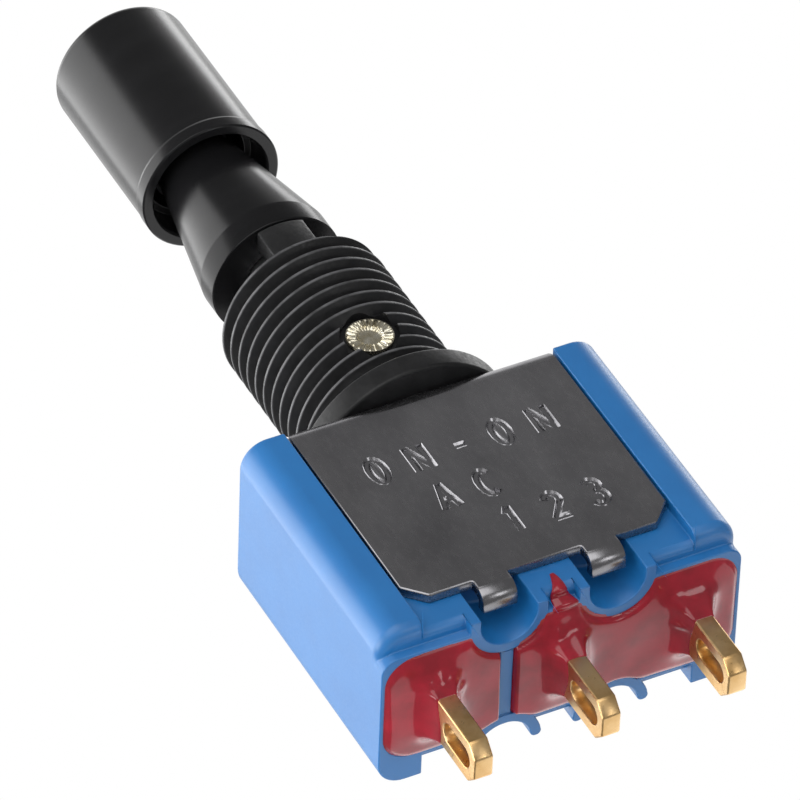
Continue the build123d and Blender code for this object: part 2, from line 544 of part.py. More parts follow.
# ---------------------------------------------------------------- sealing compound in the well
with BuildPart() as epoxy_seal:
    with BuildSketch(Plane.XY.offset(EPOXY_END)):
        RectangleRounded(WELL_W, WELL_D, WELL_CORNER_R)
    extrude(amount=FLOOR_UNDER - EPOXY_END)
    add(case.part, mode=Mode.SUBTRACT)
    # the pockets stay empty
    with BuildSketch(Plane.XY.offset(EPOXY_END)):
        with both_ways(POCKET_X):
            add(pocket_outline(POCKET_R, RAIL_Y, True))
            add(pocket_outline(POCKET_R, RAIL_Y, False))
    extrude(amount=POCKET_TOP - EPOXY_END, mode=Mode.SUBTRACT)
    # drawn up round the terminals, which stay clear
    with BuildSketch(Plane.XY.offset(EPOXY_END)):
        with Locations((0, 0), (TERMINAL_PITCH, 0), (-TERMINAL_PITCH, 0)):
            Rectangle(TERMINAL_T + 2 * CREEP_OUT, TERMINAL_W + 2 * CREEP_OUT)
    extrude(amount=-CREEP_UP, taper=degrees(atan((CREEP_OUT - CREEP_EDGE) / CREEP_UP)))
    with BuildSketch(Plane.XY.offset(EPOXY_END - CREEP_UP)):
        with Locations((0, 0), (TERMINAL_PITCH, 0), (-TERMINAL_PITCH, 0)):
            Rectangle(TERMINAL_T, TERMINAL_W)
    extrude(amount=FLOOR_UNDER - EPOXY_END + CREEP_UP, mode=Mode.SUBTRACT)
write(epoxy_seal.part, "epoxy_seal")
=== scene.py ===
"""Dress the miniature toggle switch: meshes, finishes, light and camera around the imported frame.

The frame's axes are used throughout: +Z runs up the threaded bushing to the lever, +X along the row
of terminals, and the origin lies in the panel seat on the bushing axis. Sizes in the classes are in
millimetres and are turned to metres as the last step of each mesh.
"""
from __future__ import annotations

import json
import logging
import math
from dataclasses import dataclass, field, replace
from enum import Enum

import bmesh
import bpy
import numpy as np
from bpy.types import Material, Mesh, Node, NodeSocket, NodeTree, Object
from mathutils import Matrix, Vector

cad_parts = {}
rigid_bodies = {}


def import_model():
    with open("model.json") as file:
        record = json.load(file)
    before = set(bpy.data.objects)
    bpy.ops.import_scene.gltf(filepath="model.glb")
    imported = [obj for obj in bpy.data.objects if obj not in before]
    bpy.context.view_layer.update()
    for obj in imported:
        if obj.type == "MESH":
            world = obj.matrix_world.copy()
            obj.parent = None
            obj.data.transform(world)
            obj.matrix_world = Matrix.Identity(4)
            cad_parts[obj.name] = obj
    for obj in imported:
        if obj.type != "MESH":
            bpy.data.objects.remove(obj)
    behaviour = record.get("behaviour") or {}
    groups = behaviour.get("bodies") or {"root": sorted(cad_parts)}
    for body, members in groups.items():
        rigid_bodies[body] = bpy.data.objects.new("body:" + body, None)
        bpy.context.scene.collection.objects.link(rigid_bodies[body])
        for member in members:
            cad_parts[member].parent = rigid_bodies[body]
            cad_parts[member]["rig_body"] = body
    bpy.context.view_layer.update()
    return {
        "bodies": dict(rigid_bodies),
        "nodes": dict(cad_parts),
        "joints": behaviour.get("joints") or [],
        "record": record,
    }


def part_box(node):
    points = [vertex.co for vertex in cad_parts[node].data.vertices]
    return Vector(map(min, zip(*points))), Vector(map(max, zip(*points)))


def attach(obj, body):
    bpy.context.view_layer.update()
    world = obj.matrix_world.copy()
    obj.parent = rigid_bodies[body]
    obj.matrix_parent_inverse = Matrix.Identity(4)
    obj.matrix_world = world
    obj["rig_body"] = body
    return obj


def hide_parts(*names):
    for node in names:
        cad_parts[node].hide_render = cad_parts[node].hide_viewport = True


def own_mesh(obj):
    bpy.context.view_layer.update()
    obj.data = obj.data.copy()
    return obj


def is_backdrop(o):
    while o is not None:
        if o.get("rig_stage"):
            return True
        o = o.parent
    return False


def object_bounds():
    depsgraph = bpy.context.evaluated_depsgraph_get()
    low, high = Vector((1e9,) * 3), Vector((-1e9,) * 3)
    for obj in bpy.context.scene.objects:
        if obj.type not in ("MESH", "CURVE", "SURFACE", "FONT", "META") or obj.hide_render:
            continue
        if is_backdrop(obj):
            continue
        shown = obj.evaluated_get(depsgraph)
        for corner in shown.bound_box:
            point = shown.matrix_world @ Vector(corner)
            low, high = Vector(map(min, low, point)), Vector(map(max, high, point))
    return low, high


Array = np.ndarray
Pair = tuple[float, float]
Triple = tuple[float, float, float]
Quad = tuple[float, float, float, float]

MM = 0.001
FULL_TURN = 2 * math.pi
EDGE_ANGLE = 40.0       # degrees between two faces whose edge is broken
SAME_PLANE = 0.6        # degrees between two faces of a CAD node that are taken as one
SAME_PLACE = 0.0008     # mm between two points of a CAD node that are taken as one
SAME_WAY = 0.9998       # least cosine between a face's normal and the direction it looks
LOG = logging.getLogger("toggle_switch")


# ---------------------------------------------------------------- meshes
def new_object(name: str, mesh: Mesh) -> Object:
    """Link a mesh to the scene as an object at the origin."""
    piece = bpy.data.objects.new(name, mesh)
    bpy.context.scene.collection.objects.link(piece)
    return piece


def mesh_object(name: str, points: Array, faces: list[list[int]]) -> Object:
    """Make an object at the origin from points in millimetres and its faces' point numbers."""
    mesh = bpy.data.meshes.new(name)
    mesh.from_pydata((points * MM).tolist(), [], faces)
    return new_object(name, mesh)


def grid_mesh(name: str, points: Array, ends: bool = False, caps: bool = False,
              wrap: Array | None = None) -> Object:
    """Make a mesh from a grid of points that runs round: each row's last point joins a first point.

    Args:
        name: the new object's name.
        points: array of rows, columns and three coordinates, in millimetres.
        ends: join the last row to the first.
        caps: close the first and last rows with one face each.
        wrap: the row whose first point follows each row's last point, by default the row itself.

    Returns:
        The object, with doubled points merged and faces turned outwards.
    """
    rows, columns = points.shape[:2]
    index = np.arange(rows * columns).reshape(rows, columns)
    following = np.arange(rows) if wrap is None else wrap
    index = np.concatenate([index, index[following, :1]], axis=1)
    if ends:
        index = np.concatenate([index, index[:1]], axis=0)
    faces = np.stack([index[:-1, :-1], index[:-1, 1:], index[1:, 1:], index[1:, :-1]], axis=-1)
    flat = [index[0, :-1].tolist(), index[-1, :-1].tolist()] if caps else []
    piece = mesh_object(name, points.reshape(-1, 3), faces.reshape(-1, 4).tolist() + flat)
    close_up(piece)
    return piece


def close_up(piece: Object, gap: float = 0.0004) -> None:
    """Merge doubled points of a piece and turn its faces outwards; gap is in millimetres."""
    work = bmesh.new()
    work.from_mesh(piece.data)
    bmesh.ops.remove_doubles(work, verts=work.verts, dist=gap * MM)
    bmesh.ops.dissolve_degenerate(work, edges=work.edges, dist=gap * MM / 4)
    bmesh.ops.recalc_face_normals(work, faces=work.faces)
    work.to_mesh(piece.data)
    work.free()


def smooth(piece: Object, angle: float, level: bool = False, flat: Triple | None = None) -> Object:
    """Shade a piece smooth, with sharp edges where faces meet at more than angle degrees.

    Args:
        piece: the piece.
        angle: in degrees.
        level: let broad faces set the shading, so that flat ones stay flat up to their soft edges.
        flat: faces that look this way keep their own flat shading.

    Returns:
        The same piece.
    """
    piece.data.shade_smooth()
    piece.data.set_sharp_from_angle(angle=math.radians(angle))
    if flat is not None:
        for polygon in piece.data.polygons:
            polygon.use_smooth = polygon.normal.dot(Vector(flat)) < SAME_WAY
    if level:
        weigh = piece.modifiers.new("level", "WEIGHTED_NORMAL")
        weigh.keep_sharp, weigh.weight = True, 100
        apply_modifiers(piece)
    return piece


def rounded(corners: list[Triple], steps: int = 6) -> Array:
    """Round the corners of an outline.

    Each corner is replaced by an arc that touches both of its sides: the arc's centre lies on the
    corner's bisector, and its points turn evenly from one side's normal to the other's.

    Args:
        corners: points (u, v, radius) in order; a radius of 0 keeps the corner sharp.
        steps: segments in each arc.

    Returns:
        Array of points with two coordinates. The first and last corners are kept as they are.
    """
    points = [np.array(corners[0][:2])]
    for before, here, after in zip(corners[:-2], corners[1:-1], corners[2:]):
        corner, radius = np.array(here[:2]), here[2]
        if radius == 0:
            points.append(corner)
            continue
        back = np.array(before[:2]) - corner
        ahead = np.array(after[:2]) - corner
        back, ahead = back / np.linalg.norm(back), ahead / np.linalg.norm(ahead)
        half = math.acos(float(np.clip(back @ ahead, -1, 1))) / 2
        middle = (back + ahead) / np.linalg.norm(back + ahead)
        centre = corner + middle * radius / math.sin(half)
        start = corner + back * radius / math.tan(half) - centre
        end = corner + ahead * radius / math.tan(half) - centre
        sweep = math.pi - 2 * half
        share = np.linspace(0, 1, steps + 1)[:, None]
        turn = (np.sin((1 - share) * sweep) * start + np.sin(share * sweep) * end) / math.sin(sweep)
        points.extend(centre + turn)
    points.append(np.array(corners[-1][:2]))
    return np.array(points)


def circle_angles(steps: int) -> Array:
    """Angles evenly spread once round a circle."""
    return np.arange(steps) / steps * FULL_TURN


def turned(name: str, profile: Array, columns: int) -> Object:
    """Turn a profile of (radius, height) points once round the Z axis."""
    angle = circle_angles(columns)
    radius, height = profile[:, :1], profile[:, 1:]
    points = np.stack([radius * np.cos(angle), radius * np.sin(angle), height + 0 * angle], axis=-1)
    return grid_mesh(name, points)


def prism(name: str, outline: Array, low: float, high: float, plane: str = "XY") -> Object:
    """Make a straight prism.

    Args:
        name: the new object's name.
        outline: closed outline, points (u, v) in millimetres, the last joined to the first.
        low: start along the plane's normal.
        high: end along the plane's normal.
        plane: "XY", with the prism along Z, or "XZ", with the prism along Y.
    """
    count = len(outline)
    level = np.repeat([low, high], count)
    u, v = np.tile(outline, (2, 1)).T
    points = np.stack([u, v, level] if plane == "XY" else [u, level, v], axis=-1)
    ring = np.arange(count)
    sides = np.stack([ring, np.roll(ring, -1), np.roll(ring, -1) + count, ring + count], axis=-1)
    piece = mesh_object(name, points, sides.tolist() + [ring.tolist(), (ring + count).tolist()])
    close_up(piece)
    return piece


def stadium(length: float, width: float, steps: int = 24) -> Array:
    """Outline of a slot with round ends, along the first axis."""
    turn = np.linspace(-math.pi / 2, math.pi / 2, steps)
    half, radius = (length - width) / 2, width / 2
    right = np.stack([half + radius * np.cos(turn), radius * np.sin(turn)], axis=-1)
    return np.concatenate([right, -right])


def ring_of(radius: float, steps: int = 96, u: float = 0.0, v: float = 0.0) -> Array:
    """Outline of a circle about (u, v)."""
    angle = circle_angles(steps)
    return np.stack([u + radius * np.cos(angle), v + radius * np.sin(angle)], axis=-1)


class Join(Enum):
    """How a boolean takes its second piece."""

    CUT = "DIFFERENCE"
    ADD = "UNION"


def boolean(piece: Object, tool: Object, join: Join) -> None:
    """Cut a tool out of a piece, or add it, and delete the tool."""
    step = piece.modifiers.new("boolean", "BOOLEAN")
    step.operation, step.object, step.solver = join.value, tool, "MANIFOLD"
    apply_modifiers(piece)
    bpy.data.objects.remove(tool)


def apply_modifiers(piece: Object) -> None:
    """Replace a piece's mesh by what its modifiers make of it."""
    graph = bpy.context.evaluated_depsgraph_get()
    finished = bpy.data.meshes.new_from_object(piece.evaluated_get(graph))
    piece.modifiers.clear()
    piece.data = finished


def softened(frame: dict, node: str, width: float, fine: float | None = None,
             fine_below: float = 0.0, segments: int = 2) -> Object:
    """Copy a CAD node with its edges broken, and let the copy stand for the node.

    Args:
        node: the CAD node.
        width: width of the broken edge in millimetres.
        fine: width for edges among thin walls, or None where all edges are alike.
        fine_below: edges with an end below this height, in millimetres, take the fine width.
        segments: faces across each broken edge.

    Returns:
        The copy, riding on the node's body.
    """
    source = frame["nodes"][node]
    piece = new_object(f"{node}_finished", source.data.copy())
    piece.data.materials.clear()
    work = bmesh.new()
    work.from_mesh(piece.data)
    bmesh.ops.remove_doubles(work, verts=work.verts, dist=SAME_PLACE * MM)
    bmesh.ops.dissolve_limit(
        work, angle_limit=math.radians(SAME_PLANE), verts=work.verts, edges=work.edges)
    weight = work.edges.layers.float.new("bevel_weight_edge")
    for edge in work.edges:
        if edge.is_manifold and edge.calc_face_angle() > math.radians(EDGE_ANGLE):
            low = min(vertex.co.z for vertex in edge.verts) < fine_below * MM
            edge[weight] = fine / width if fine is not None and low else 1.0
    work.to_mesh(piece.data)
    work.free()
    bevel = piece.modifiers.new("edge", "BEVEL")
    bevel.width, bevel.segments = width * MM, segments
    bevel.limit_method, bevel.use_clamp_overlap = "WEIGHT", False
    # Broken edges get material number 1; on the frame that number carries a painted highlight.
    bevel.miter_outer, bevel.material = "MITER_ARC", 1
    apply_modifiers(piece)
    close_up(piece, 0.0005)
    smooth(piece, 30, level=True)
    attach(piece, source["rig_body"])
    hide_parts(node)
    return piece


# ---------------------------------------------------------------- finishes
PATCH_RANGE = (0.35, 0.65)               # of the cloudy noise, from one colour to the other
GRAIN_RANGE = (0.3, 0.7)                 # of the fine noise, from least to most rough
# The next two set the bushing's paler crest colour, partly wear and partly a painted highlight along the
# thread's crests.
CREST_WEAR_AND_HIGHLIGHT_DEPTH = 0.04                        # mm under a crest where wear ends
CREST_WEAR_AND_HIGHLIGHT_PATCHES = (0.3, 0.6, 0.25, 1.0)     # range of the cloudy noise, and its share of the wear
SUBSURFACE_DEPTH = 0.3                   # mm


class NodeSheet:
    """A node tree with short calls for adding and joining nodes."""

    def __init__(self, tree: NodeTree) -> None:
        """Start from an empty tree."""
        self.tree = tree
        self.tree.nodes.clear()

    def feed(self, socket: NodeSocket, value: object) -> None:
        """Link another node's output to an input socket, or set the socket's own value."""
        if isinstance(value, NodeSocket):
            self.tree.links.new(value, socket)
        else:
            socket.default_value = value

    def add(self, kind: str, inputs: dict[str | int, object] | None = None, **settings: object) -> Node:
        """Add a node, set its properties and feed its inputs, which go by name or number."""
        node = self.tree.nodes.new(kind)
        for name, value in settings.items():
            setattr(node, name, value)
        for place, value in (inputs or {}).items():
            self.feed(node.inputs[place], value)
        return node

    def math(self, operation: str, *values: object) -> NodeSocket:
        """Add a math node on numbers or sockets and return its result."""
        return self.add("ShaderNodeMath", dict(enumerate(values)), operation=operation).outputs[0]

    def mix(self, share: object, low: object, high: object) -> NodeSocket:
        """Mix two colours and return the result."""
        return self.add("ShaderNodeMix", {0: share, 6: low, 7: high}, data_type="RGBA").outputs[2]

    def spread(self, value: NodeSocket, low: float, high: float,
               to_low: object = 0.0, to_high: object = 1.0) -> NodeSocket:
        """Map a value's range low to high onto another range, whose ends may be sockets."""
        return self.add("ShaderNodeMapRange", {0: value, 1: low, 2: high, 3: to_low, 4: to_high}).outputs[0]


def srgb(red: int, green: int, blue: int) -> Quad:
    """Turn a colour of 0 to 255 per channel into Blender's linear colour."""
    channels = np.array([red, green, blue]) / 255
    low, high = channels / 12.92, ((channels + 0.055) / 1.055) ** 2.4
    return (*np.where(channels <= 0.04045, low, high).tolist(), 1.0)


def surface_group() -> NodeTree:
    """Group that turns a position into fine grain, cloudy patches and a bumped normal.

    Inputs: Position, Grain Size, Patch Size (both in patterns per metre), Stretch along Z, Grain Depth
    and Patch Depth in metres. Outputs: Grain and Patch, values of 0 to 1, and Normal.
    """
    name = "worked_surface"
    if name in bpy.data.node_groups:
        return bpy.data.node_groups[name]
    group = bpy.data.node_groups.new(name, "ShaderNodeTree")
    sheet = NodeSheet(group)
    group.interface.new_socket("Position", in_out="INPUT", socket_type="NodeSocketVector")
    for title in ("Grain Size", "Patch Size", "Stretch", "Grain Depth", "Patch Depth"):
        group.interface.new_socket(title, in_out="INPUT", socket_type="NodeSocketFloat")
    for title in ("Grain", "Patch"):
        group.interface.new_socket(title, in_out="OUTPUT", socket_type="NodeSocketFloat")
    group.interface.new_socket("Normal", in_out="OUTPUT", socket_type="NodeSocketVector")
    inside, outside = sheet.add("NodeGroupInput"), sheet.add("NodeGroupOutput")
    stretch = sheet.add("ShaderNodeCombineXYZ", {0: 1.0, 1: 1.0, 2: inside.outputs["Stretch"]})
    place = sheet.add("ShaderNodeVectorMath", {0: inside.outputs["Position"], 1: stretch.outputs[0]},
                      operation="MULTIPLY")
    grain = sheet.add("ShaderNodeTexNoise", {
        "Vector": place.outputs[0], "Scale": inside.outputs["Grain Size"], "Detail": 3.0, "Roughness": 0.6})
    patch = sheet.add("ShaderNodeTexNoise", {
        "Vector": place.outputs[0], "Scale": inside.outputs["Patch Size"], "Detail": 4.0, "Roughness": 0.55})
    height = sheet.math(
        "ADD", sheet.math("MULTIPLY", grain.outputs[0], inside.outputs["Grain Depth"]),
        sheet.math("MULTIPLY", patch.outputs[0], inside.outputs["Patch Depth"]))
    bump = sheet.add("ShaderNodeBump", {"Height": height, "Distance": 1.0, "Strength": 1.0})
    for title, node in (("Grain", grain), ("Patch", patch), ("Normal", bump)):
        sheet.feed(outside.inputs[title], node.outputs[0])
    return group


@dataclass(frozen=True)
class Finish:
    """A finish: base colours, gloss and surface texture, and the record's slot it belongs to.

    The crest colour, partly wear and partly a painted highlight along the crests, shows where the
    distance from the Z axis nears the radius in crest_wear_and_highlight_from, above the height in it,
    both in millimetres.
    """

    name: str
    slot: str
    colour: Quad
    patch_colour: Quad
    roughness: Pair = (0.4, 0.5)
    metallic: float = 0.0
    specular: float = 0.5
    coat: float = 0.0
    coat_roughness: float = 0.1
    grain_size: float = 9000.0
    patch_size: float = 700.0
    stretch: float = 1.0
    grain_depth: float = 0.0
    patch_depth: float = 0.0
    crest_wear_and_highlight_colour: Quad | None = None
    crest_wear_and_highlight_from: Pair = (0.0, 0.0)
    subsurface: float = 0.0

    def crest_wear_and_highlight_share(self, sheet: NodeSheet, place: NodeSocket, patch: NodeSocket) -> NodeSocket:
        """How much of the crest colour, partly wear and partly a painted highlight, shows, patchily, on the
        crests round the Z axis.
        """
        radius, height = self.crest_wear_and_highlight_from
        axes = sheet.add("ShaderNodeSeparateXYZ", {0: place})
        square = sheet.math("ADD", *(sheet.math("POWER", axes.outputs[axis], 2.0) for axis in (0, 1)))
        crest = sheet.spread(sheet.math("SQRT", square), (radius - CREST_WEAR_AND_HIGHLIGHT_DEPTH) * MM, radius * MM)
        above = sheet.math("GREATER_THAN", axes.outputs[2], height * MM)
        patchy = sheet.spread(patch, *CREST_WEAR_AND_HIGHLIGHT_PATCHES)
        return sheet.math("MULTIPLY", sheet.math("MULTIPLY", crest, above), patchy)

    def material(self) -> Material:
        """Build the material, or return it if it is there already."""
        if self.name in bpy.data.materials:
            return bpy.data.materials[self.name]
        material = bpy.data.materials.new(self.name)
        material.use_nodes = True
        sheet = NodeSheet(material.node_tree)
        place = sheet.add("ShaderNodeTexCoord").outputs["Object"]
        group = sheet.add("ShaderNodeGroup", node_tree=surface_group())
        for title, value in (("Position", place), ("Grain Size", self.grain_size),
                             ("Patch Size", self.patch_size), ("Stretch", self.stretch),
                             ("Grain Depth", self.grain_depth), ("Patch Depth", self.patch_depth)):
            sheet.feed(group.inputs[title], value)
        patch = group.outputs["Patch"]
        colour = sheet.mix(sheet.spread(patch, *PATCH_RANGE), self.colour, self.patch_colour)
        # Paler crests: partly wear, partly a painted highlight along the thread.
        if self.crest_wear_and_highlight_colour is not None:
            colour = sheet.mix(self.crest_wear_and_highlight_share(sheet, place, patch), colour, self.crest_wear_and_highlight_colour)
        shader = sheet.add("ShaderNodeBsdfPrincipled", {
            "Base Color": colour,
            "Roughness": sheet.spread(group.outputs["Grain"], *GRAIN_RANGE, *self.roughness),
            "Metallic": self.metallic, "Normal": group.outputs["Normal"],
            "Specular IOR Level": self.specular, "Coat Weight": self.coat,
            "Coat Roughness": self.coat_roughness, "Subsurface Weight": self.subsurface,
            "Subsurface Scale": SUBSURFACE_DEPTH * MM})
        sheet.add("ShaderNodeOutputMaterial", {"Surface": shader.outputs[0]})
        return material


CASE_BLUE = Finish(
    "moulded_blue", "case_blue", srgb(17, 98, 160), srgb(20, 103, 166), roughness=(0.36, 0.46),
    specular=0.6, coat=0.35, coat_roughness=0.35, grain_size=14000, patch_size=500,
    grain_depth=0.000001, patch_depth=0.000004)
PLATE_STEEL = Finish(
    "plated_sheet", "frame_steel", srgb(164, 163, 166), srgb(136, 135, 138), roughness=(0.22, 0.3),
    metallic=1.0, grain_size=5200, patch_size=300, stretch=0.5, grain_depth=0.0000012,
    patch_depth=0.000008)
# Painted highlight: the frame's broken edges are coloured far paler than the sheet so that they read as
# bright lit lines.
PLATE_EDGE_HIGHLIGHT = Finish(
    "painted_highlight_sheet_edge", "frame_steel", srgb(226, 226, 228), srgb(196, 196, 199), roughness=(0.36, 0.46),
    metallic=1.0, grain_size=5200, patch_size=900, grain_depth=0.000001)
# Its paler crest colour is partly wear and partly a painted highlight along the thread's crests.
BUSHING_BLACK = Finish(
    "blackened_metal", "bushing_black", srgb(24, 24, 25), srgb(15, 15, 16), roughness=(0.34, 0.55),
    specular=0.35, grain_size=7000, patch_size=1500, grain_depth=0.000006, patch_depth=0.00001,
    crest_wear_and_highlight_colour=srgb(84, 84, 86), crest_wear_and_highlight_from=(3.175, 0.3))
LEVER_BLACK = Finish(
    "polished_black", "lever_black", srgb(15, 15, 16), srgb(19, 19, 20), roughness=(0.2, 0.27),
    specular=0.33, grain_size=6000, patch_size=260, stretch=6.0, grain_depth=0.0000004,
    patch_depth=0.000001)
SLEEVE_BLACK = replace(LEVER_BLACK, name="satin_black", specular=0.19)
PIN_STEEL = Finish(
    "bare_pin", "pin_steel", srgb(235, 230, 212), srgb(206, 196, 168), roughness=(0.2, 0.34),
    metallic=1.0, patch_size=3000, grain_depth=0.000002, patch_depth=0.00001)
STEM_STEEL = Finish(
    "turned_stem", "stem_steel", srgb(170, 170, 172), srgb(150, 150, 152), roughness=(0.25, 0.35),
    metallic=1.0, stretch=12.0, grain_depth=0.000001)
SPRING_STEEL = Finish(
    "drawn_wire", "spring_steel", srgb(185, 185, 188), srgb(165, 165, 168), roughness=(0.2, 0.3),
    metallic=1.0, grain_depth=0.000001)
# Painted shade: the lock spring sits in the shade of the cap's mouth and is coloured near black and dull for
# that, not for a known finish.
SPRING_SHADE_DARK = Finish(
    "shade_darkened_wire", "spring_steel", srgb(22, 22, 23), srgb(18, 18, 19), roughness=(0.5, 0.6),
    specular=0.2, grain_depth=0.000001)
PLUNGER_NYLON = Finish(
    "moulded_nylon", "plunger_nylon", srgb(228, 223, 208), srgb(220, 214, 196), subsurface=0.1,
    grain_depth=0.000001)
CONTACT_GOLD = Finish(
    "plated_contact", "contact_gold", srgb(226, 184, 116), srgb(212, 168, 98), roughness=(0.2, 0.3),
    metallic=1.0, grain_depth=0.0000008)
TERMINAL_GOLD = Finish(
    "plated_lug", "terminal_gold", srgb(238, 202, 148), srgb(210, 166, 104), roughness=(0.27, 0.38),
    metallic=1.0, grain_size=6500, grain_depth=0.0000015, patch_depth=0.000008)
SEAL_RED = Finish(
    "cast_resin", "seal_red", srgb(146, 8, 33), srgb(122, 6, 25), specular=0.2, coat=1.0,
    grain_size=5000, patch_size=900, grain_depth=0.0000006, patch_depth=0.00001, subsurface=0.05)

PLAIN_NODES: dict[str, Finish] = {
    "lever_stem": STEM_STEEL, "plunger": PLUNGER_NYLON, "rocker": CONTACT_GOLD,
    "moving_contact_left": CONTACT_GOLD, "moving_contact_right": CONTACT_GOLD,
    "fixed_contact_left": CONTACT_GOLD, "fixed_contact_right": CONTACT_GOLD}


def dress(piece: Object, finish: Finish, edge: Finish | None = None) -> Object:
    """Give a piece its finish.

    Args:
        piece: the piece.
        finish: the finish of its faces.
        edge: another finish for its broken edges, which have material number 1.

    Returns:
        The same piece.
    """
    mesh = piece.data
    numbers = np.zeros(len(mesh.polygons), np.int32)
    mesh.polygons.foreach_get("material_index", numbers)
    mesh.materials.clear()
    for coating in (finish,) if edge is None else (finish, edge):
        mesh.materials.append(coating.material())
    mesh.polygons.foreach_set("material_index", np.minimum(numbers, len(mesh.materials) - 1))
    LOG.info("%s: %s, %d faces", piece.name, finish.name, len(mesh.polygons))
    return piece


def node_box(node: str) -> tuple[Array, Array]:
    """Lowest and highest corners of a CAD node, in millimetres."""
    low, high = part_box(node)
    return np.array(low) / MM, np.array(high) / MM


# ---------------------------------------------------------------- bushing and its pin
@dataclass
class Bushing:
    """The turned bushing with its screw thread, flange, roof slot and two lugs.

    Crest and root are shares of the pitch. The relief is the plain foot under the thread, and the
    edge breaks are those of the spigot's end and of the flange's lower and upper edges.
    """

    pitch: float = 0.635
    depth: float = 0.35
    crest: float = 0.13
    root: float = 0.16
    relief: float = 0.3
    end_chamfer: float = 0.25
    radius: float = 3.175
    flange_radius: float = 4.0
    flange_height: float = 0.95
    spigot_radius: float = 2.9
    edge_breaks: Triple = (0.05, 0.12, 0.16)
    bore_radius: float = 2.2
    roof: float = 1.45
    slot: Pair = (4.89, 2.5)
    lug_width: float = 1.75
    lug_radius: float = 2.5
    lug_depth: float = 0.85
    lug_height: float = 1.65
    lug_root: float = 0.3
    lug_edge: float = 0.05
    sink_radius: float = 1.05
    sink: float = 0.5
    hole_radius: float = 0.71
    pivot: float = 2.45
    columns: int = 192
    top: float = 0.0

    def thread_radius(self, height: Array, angle: Array) -> Array:
        """Radius of the threaded wall.

        The phase is the height in turns less the angle in turns. The profile is a triangle wave of
        that phase, cut flat at crest and root. Its depth grows over one turn above the plain foot
        and is limited by the end chamfer.
        """
        phase = np.mod(height / self.pitch - angle / FULL_TURN, 1.0)
        wave = np.abs(2 * phase - 1)
        rise = np.clip((wave - self.root) / (1 - self.crest - self.root), 0, 1)
        start = np.clip((height - self.relief) / self.pitch, 0, 1)
        radius = self.radius - self.depth * (1 - rise) * start
        return np.minimum(radius, self.radius - self.end_chamfer + (self.top - height))

    def thread_rows(self, angle: Array) -> tuple[Array, Array, int]:
        """Grid of the threaded wall whose rows climb with the helix.

        A turn has one row at each corner of the profile and one half-way up each flank, so that the
        crests stay sharp. Rows below the seat or above the top are pressed flat onto it.

        Returns:
            Radius and height of each grid point, and the number of rows in a turn.
        """
        crest, root = self.crest / 2, self.root / 2
        flank = (crest + 0.5 - root) / 2
        corners = np.array([0, crest, flank, 0.5 - root, 0.5 + root, 1 - flank, 1 - crest])
        turns = np.arange(-1, math.ceil(self.top / self.pitch) + 1)
        phase = (turns[:, None] + corners).reshape(-1, 1)
        height = np.clip((phase + angle / FULL_TURN) * self.pitch, 0, self.top)
        return self.thread_radius(height, angle[None, :]), height, len(corners)

    def build(self) -> Object:
        """Build the bushing as one closed mesh."""
        low, high = node_box("bushing")
        self.top = high[2] - self.lug_height
        angle = circle_angles(self.columns)
        wall_radius, wall_height, per_turn = self.thread_rows(angle)
        spigot_break, lower_break, upper_break = self.edge_breaks
        below = rounded([
            (0, low[2], 0), (self.spigot_radius, low[2], spigot_break),
            (self.spigot_radius, -self.flange_height, 0),
            (self.flange_radius, -self.flange_height, lower_break), (self.flange_radius, 0, upper_break),
            (self.radius, 0, 0)])
        radius = np.concatenate([below[:-1, :1] + 0 * angle, wall_radius, 0 * angle[None, :]])
        height = np.concatenate([below[:-1, 1:] + 0 * angle, wall_height, self.top + 0 * angle[None, :]])
        wrap = np.arange(len(radius))
        threaded = slice(len(below) - 1, len(radius) - 1)
        wrap[threaded] = np.minimum(wrap[threaded] + per_turn, len(radius) - 2)
        points = np.stack([radius * np.cos(angle), radius * np.sin(angle), height], axis=-1)
        body = grid_mesh("threaded_bushing", points, wrap=wrap)
        reach = self.radius * 2
        boolean(body, prism("bore", ring_of(self.bore_radius), low[2] - 1, self.top - self.roof), Join.CUT)
        boolean(body, prism("slot", stadium(*self.slot), low[2] - 1, self.top + 1), Join.CUT)
        boolean(body, self.cross_hole(self.hole_radius, -reach, reach), Join.CUT)
        for side in (-1, 1):
            seat = side * (self.radius - self.sink)
            boolean(body, self.cross_hole(self.sink_radius, *sorted((seat, side * reach))), Join.CUT)
            boolean(body, self.lug(side), Join.ADD)
        close_up(body, 0.001)
        smooth(body, 25)
        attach(body, "housing")
        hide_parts("bushing")
        return dress(body, BUSHING_BLACK)

    def cross_hole(self, radius: float, start: float, end: float) -> Object:
        """Build the tool for a hole along Y, about the lever's pivot."""
        return prism("hole", ring_of(radius, 64, 0, self.pivot), start, end, "XZ")

    def lug(self, side: int) -> Object:
        """Build one lug: a block bounded by the sleeve's circle outside and a flat inside."""
        half = self.lug_width / 2
        across = np.linspace(-half, half, 13)
        outer = np.stack([across, side * np.sqrt(self.lug_radius**2 - across**2)], axis=-1)
        flat = side * (self.lug_radius - self.lug_depth)
        inner = np.array([(half, flat), (-half, flat)])
        ends = (self.top - self.lug_root, self.top + self.lug_height)
        block = prism("lug", np.concatenate([outer, inner]), *ends)
        edge = block.modifiers.new("edge", "BEVEL")
        edge.width, edge.segments = self.lug_edge * MM, 2
        edge.limit_method, edge.angle_limit = "ANGLE", math.radians(EDGE_ANGLE)
        apply_modifiers(block)
        return block


